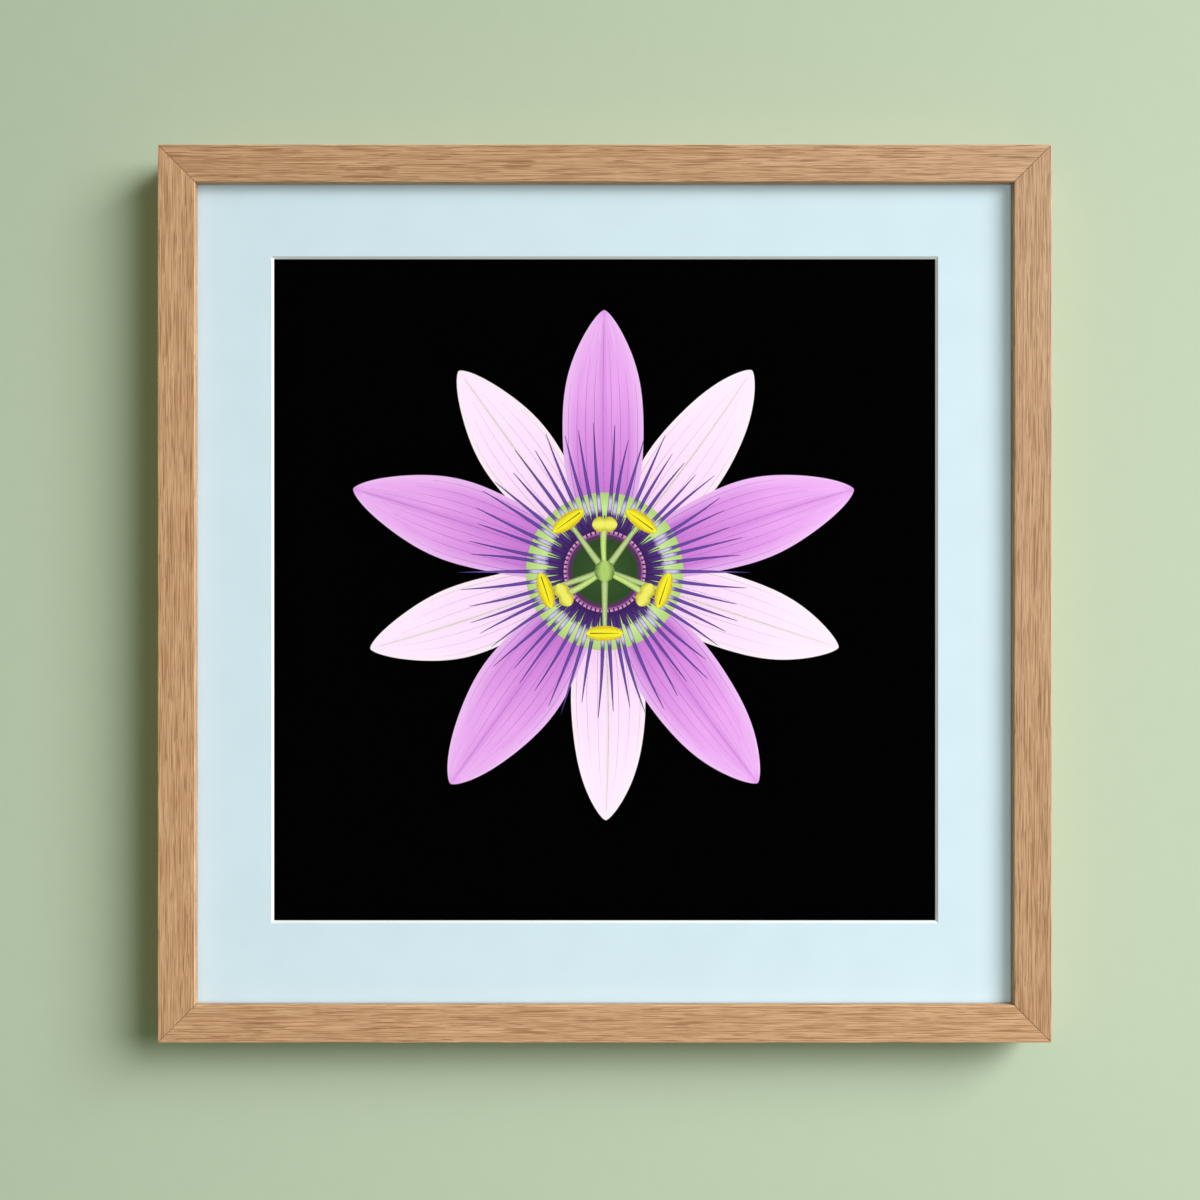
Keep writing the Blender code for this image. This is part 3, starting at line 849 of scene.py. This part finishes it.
class FRAMEDPRINT_OT_column(FinishOperator, bpy.types.Operator):
    """Draw the five stamens and the three styles"""

    bl_idname = "framed_print.column"
    bl_label = "Stamens and styles"

    stalk_start = 4 * MM  # from the flower's middle
    stalk_foot = 4.4 * MM
    stalk_tip = 2.4 * MM
    anther_length = 22 * MM
    anther_width = 9 * MM
    furrow_width = 0.7 * MM
    style_start = 2 * MM  # from the flower's middle
    style_foot = 2.6 * MM
    style_tip = 4.4 * MM
    style_lean = 0.8 * MM
    stigma_length = 15 * MM
    stigma_width = 10.5 * MM
    ovary_length = 13 * MM
    ovary_width = 12 * MM

    def execute(self, context):
        sizes = context.scene.framed_print_sizes
        middle = flower_middle(sizes)
        self.draw_stamens(middle, sizes.anther_reach, context.scene.framed_print_colours)
        self.draw_styles(middle, sizes.stigma_reach)
        return {"FINISHED"}

    def draw_stamens(self, middle, reach, colours):
        stalks, anthers, furrows = new_drawing(), new_drawing(), new_drawing()
        for number in range(5):
            angle = -RIGHT_ANGLE + number * FIFTH_OF_TURN
            stalk = Blade(middle, angle, self.stalk_start, reach, taper(self.stalk_foot, self.stalk_tip))
            draw(stalks, stalk.lay, 4, 8)
            anther = self.crossbar(stalk, angle, self.anther_length, round_outline(self.anther_width))
            draw(anthers, round_layout(anther), 10, 32)
            draw(furrows, anther.line(0.0, 0.1, 0.9, self.furrow_width), 1, 12)
        green = rounded_ink(
            "stalk_ink", from_srgb(185, 202, 132), from_srgb(113, 137, 69), from_srgb(141, 90, 141),
        )
        yellow = rounded_ink(
            "anther_ink", colours.anther[:], from_srgb(204, 166, 18), from_srgb(241, 234, 113),
        )
        brown = line_ink("furrow_ink", from_srgb(141, 105, 22))
        print_layer("printed_stamen_stalks", stalks, 7, green)
        print_layer("printed_anthers", anthers, 8, yellow)
        print_layer("printed_anther_furrows", furrows, 9, brown)

    def draw_styles(self, middle, reach):
        """The three styles with their stigmas, and the ovary they stand on."""
        styles, stigmas, ovary = new_drawing(), new_drawing(), new_drawing()
        for number in range(3):
            angle = RIGHT_ANGLE + number * 2 * math.pi / 3
            outline = taper(self.style_foot, self.style_tip)
            style = Blade(middle, angle, self.style_start, reach, outline, self.style_lean)
            draw(styles, style.lay, 4, 10)
            stigma = self.crossbar(style, angle, self.stigma_length, two_lobed(self.stigma_width))
            draw(stigmas, round_layout(stigma), 10, 40)
        half = self.ovary_length / 2
        knob = Blade(middle, RIGHT_ANGLE, -half, half, round_outline(self.ovary_width))
        draw(ovary, round_layout(knob), 10, 24)
        lime = rounded_ink(
            "style_ink", from_srgb(196, 219, 124), from_srgb(134, 162, 73), from_srgb(160, 103, 151),
        )
        cream = rounded_ink(
            "stigma_ink", from_srgb(230, 221, 90), from_srgb(185, 166, 41), from_srgb(238, 232, 160),
        )
        leaf = rounded_ink(
            "ovary_ink", from_srgb(166, 194, 100), from_srgb(86, 117, 50), from_srgb(202, 219, 151),
        )
        print_layer("printed_styles", styles, 10, lime)
        print_layer("printed_stigmas", stigmas, 11, cream)
        print_layer("printed_ovary", ovary, 12, leaf)

    def crossbar(self, stalk, angle, length, outline):
        """A blade laid across a stalk's end, centred on it."""
        centre = stalk.middle + stalk.out * stalk.reach
        return Blade(centre, angle + RIGHT_ANGLE, -length / 2, length / 2, outline)


class FRAMEDPRINT_OT_boards(FinishOperator, bpy.types.Operator):
    """Finish the mount board, the hinge tapes and the hardboard back"""

    bl_idname = "framed_print.boards"
    bl_label = "Boards and tapes"

    def execute(self, context):
        cover(["mount_board"], white_board())
        cover(nodes_called("hinge_tape"), linen_tape())
        cover(["backing_board"], hardboard())
        return {"FINISHED"}


class FRAMEDPRINT_OT_hardware(FinishOperator, bpy.types.Operator):
    """Finish the nails, points, hanger and bumpers"""

    bl_idname = "framed_print.hardware"
    bl_label = "Back hardware"

    def execute(self, context):
        spring = worn_metal(
            "spring_steel", from_srgb(176, 180, 186), from_srgb(120, 123, 128), 0.4, (900, 900, 60),
        )
        zinc = worn_metal(
            "v_nail_steel", from_srgb(178, 180, 184), from_srgb(130, 132, 136), 0.35, (500, 500, 500),
        )
        brass = worn_metal(
            "brassed_steel", from_srgb(236, 200, 128), from_srgb(196, 156, 92), 0.4, (80, 900, 900),
        )
        cover(nodes_called("flexi_point"), spring)
        cover(nodes_called("v_nail"), zinc)
        cover(["sawtooth_hanger"] + nodes_called("hanger_nail"), brass)
        cover(nodes_called("wall_bumper"), soft_rubber())
        return {"FINISHED"}


# ---------------------------------------------------------------- the stage


def one_sided(name, colour):
    """A plain matt finish that is clear from behind."""
    material, tree, shader = finish(name, {"Roughness": 0.9, "Specular IOR Level": 0.2})
    plaster = noise(tree, coordinates(tree), scale=60.0, detail=4.0)
    dimmer = tuple(0.97 * value for value in colour)
    paint(tree, shader, mix(tree, plaster, dimmer, colour))
    bump(tree, shader, plaster, 0.3 * MM, 0.4)
    behind = node(tree, "ShaderNodeNewGeometry").outputs["Backfacing"]
    clear = node(tree, "ShaderNodeBsdfTransparent").outputs["BSDF"]
    joined = mix_shaders(tree, behind, shader.outputs["BSDF"], clear)
    tree.links.new(joined, tree.nodes["Material Output"].inputs["Surface"])
    return material


def add_stage_plane(name, side, place, material):
    """A square backdrop that shows from one side and neither shades the object nor tints it."""
    bm = bmesh.new()
    bmesh.ops.create_grid(bm, x_segments=1, y_segments=1, size=side / 2)
    bmesh.ops.transform(bm, matrix=place, verts=bm.verts)
    mesh = bpy.data.meshes.new(name)
    bm.to_mesh(mesh)
    bm.free()
    mesh.materials.append(material)
    plane = bpy.data.objects.new(name, mesh)
    bpy.context.scene.collection.objects.link(plane)
    plane.visible_shadow = False
    plane.visible_diffuse = False
    plane.visible_glossy = False


def add_soft_box(name, offset, aim, size, power, spread=180, colour=(1, 1, 1)):
    """A square lamp at an offset from the frame's middle, aimed at another, with a spread in degrees."""
    data = bpy.data.lights.new(name, "AREA")
    data.shape = "SQUARE"
    data.size = size
    data.energy = power
    data.spread = math.radians(spread)
    data.color = colour
    lamp = bpy.data.objects.new(name, data)
    bpy.context.scene.collection.objects.link(lamp)
    lamp.location = FRAME_MIDDLE + Vector(offset)
    lamp.rotation_euler = (Vector(aim) - Vector(offset)).to_track_quat("-Z", "Y").to_euler()
    return lamp


def keep_off_backdrop(lamp):
    """Let a lamp light the picture, without a glint, and leave the wall and the floor as they are."""
    lamp.visible_glossy = False
    lamp.visible_transmission = False
    backdrop = bpy.data.collections.new("backdrop")
    for name in ("wall", "floor"):
        backdrop.objects.link(bpy.data.objects[name])
    for member in backdrop.collection_objects:
        member.light_linking.link_state = "EXCLUDE"
    lamp.light_linking.receiver_collection = backdrop


class FRAMEDPRINT_OT_stage(FinishOperator, bpy.types.Operator):
    """Set the wall, the floor, the lamps and the camera"""

    bl_idname = "framed_print.stage"
    bl_label = "Stage"

    wall_gap = 0.2 * MM
    wall_side = 3.0
    floor_side = 5.0
    floor_drop = 0.6
    camera_distance = 0.85  # from the mat's face
    camera_offset = (-2.8 * MM, -3.8 * MM)  # from the frame's middle, along X and Z
    seen_width = 0.7154  # across the view, at the mat's face
    room_colour = (0.87, 1.02, 0.64, 1)
    room_strength = 0.163
    backdrop_colour = (0.8, 0.8, 0.79, 1.0)  # past the wall and the floor

    def execute(self, context):
        self.set_backdrop(context.scene.framed_print_colours)
        self.set_lamps(context.scene)
        self.set_camera(context.scene)
        return {"FINISHED"}

    def set_backdrop(self, colours):
        upright = Matrix.Rotation(RIGHT_ANGLE, 4, "X")
        wall_place = Matrix.Translation((0, self.wall_gap, FRAME_MIDDLE.z)) @ upright
        add_stage_plane("wall", self.wall_side, wall_place, one_sided("wall", colours.wall[:]))
        floor_place = Matrix.Translation((0, 0, FRAME_LOW.z - self.floor_drop))
        pale = one_sided("floor", from_srgb(206, 206, 202))
        add_stage_plane("floor", self.floor_side, floor_place, pale)

    def set_lamps(self, scene):
        """A large lamp to the upper right, a weak one in front for the picture, and one behind."""
        add_soft_box(
            "key_lamp", offset=(2.3, -2.2, 1.06), aim=(-1.1, 0, -1.9), size=2.3, power=66.5, spread=105,
            colour=(0.98, 1.0, 1.04),
        )
        fill = add_soft_box(
            "fill_lamp", offset=(0.25, -2.8, -0.1), aim=(0, 0, 0), size=0.8, power=25.5,
            colour=(1.0, 1.0, 1.02),
        )
        keep_off_backdrop(fill)
        add_soft_box("back_lamp", offset=(-1.2, 2.4, 1.2), aim=(0, 0, 0), size=1.8, power=55)
        world = bpy.data.worlds.new("studio")
        scene.world = world
        world.use_nodes = True
        tree = world.node_tree
        seen = node(tree, "ShaderNodeLightPath").outputs["Is Camera Ray"]
        room = tree.nodes["Background"]
        room.inputs["Color"].default_value = self.room_colour
        room.inputs["Strength"].default_value = self.room_strength
        backdrop = node(tree, "ShaderNodeBackground", {"Color": self.backdrop_colour})
        joined = mix_shaders(tree, seen, room.outputs["Background"], backdrop.outputs["Background"])
        tree.links.new(joined, tree.nodes["World Output"].inputs["Surface"])
        scene.view_settings.view_transform = "Standard"

    def set_camera(self, scene):
        data = bpy.data.cameras.new("camera")
        data.lens = data.sensor_width * self.camera_distance / self.seen_width
        camera = bpy.data.objects.new("camera", data)
        scene.collection.objects.link(camera)
        right, up = self.camera_offset
        camera.location = (right, MAT_FRONT - self.camera_distance, FRAME_MIDDLE.z + up)
        camera.rotation_euler = (RIGHT_ANGLE, 0, 0)
        scene.camera = camera


OPERATORS = (
    FRAMEDPRINT_OT_rails,
    FRAMEDPRINT_OT_mitres,
    FRAMEDPRINT_OT_window_mat,
    FRAMEDPRINT_OT_glass,
    FRAMEDPRINT_OT_sheet,
    FRAMEDPRINT_OT_tepals,
    FRAMEDPRINT_OT_corona,
    FRAMEDPRINT_OT_column,
    FRAMEDPRINT_OT_boards,
    FRAMEDPRINT_OT_hardware,
    FRAMEDPRINT_OT_stage,
)


class FRAMEDPRINT_PT_sidebar(bpy.types.Panel):
    """The add-on's panel"""

    bl_label = "Framed Print"
    bl_idname = "FRAMEDPRINT_PT_sidebar"
    bl_space_type = "VIEW_3D"
    bl_region_type = "UI"
    bl_category = "Framed Print"

    def draw(self, context):
        for group in (context.scene.framed_print_sizes, context.scene.framed_print_colours):
            box = self.layout.box()
            for name in group.__annotations__:
                box.prop(group, name)
        for operator in OPERATORS:
            self.layout.operator(operator.bl_idname)


CLASSES = (FlowerSizes, FinishColours, *OPERATORS, FRAMEDPRINT_PT_sidebar)


def register():
    for cls in CLASSES:
        bpy.utils.register_class(cls)
    bpy.types.Scene.framed_print_sizes = bpy.props.PointerProperty(type=FlowerSizes)
    bpy.types.Scene.framed_print_colours = bpy.props.PointerProperty(type=FinishColours)


def unregister():
    del bpy.types.Scene.framed_print_colours
    del bpy.types.Scene.framed_print_sizes
    for cls in reversed(CLASSES):
        bpy.utils.unregister_class(cls)


def main():
    register()
    bpy.ops.framed_print.rails()
    bpy.ops.framed_print.mitres()
    bpy.ops.framed_print.window_mat()
    bpy.ops.framed_print.glass()
    bpy.ops.framed_print.sheet()
    bpy.ops.framed_print.tepals()
    bpy.ops.framed_print.corona()
    bpy.ops.framed_print.column()
    bpy.ops.framed_print.boards()
    bpy.ops.framed_print.hardware()
    bpy.ops.framed_print.stage()


if __name__ == "__main__":
    main()
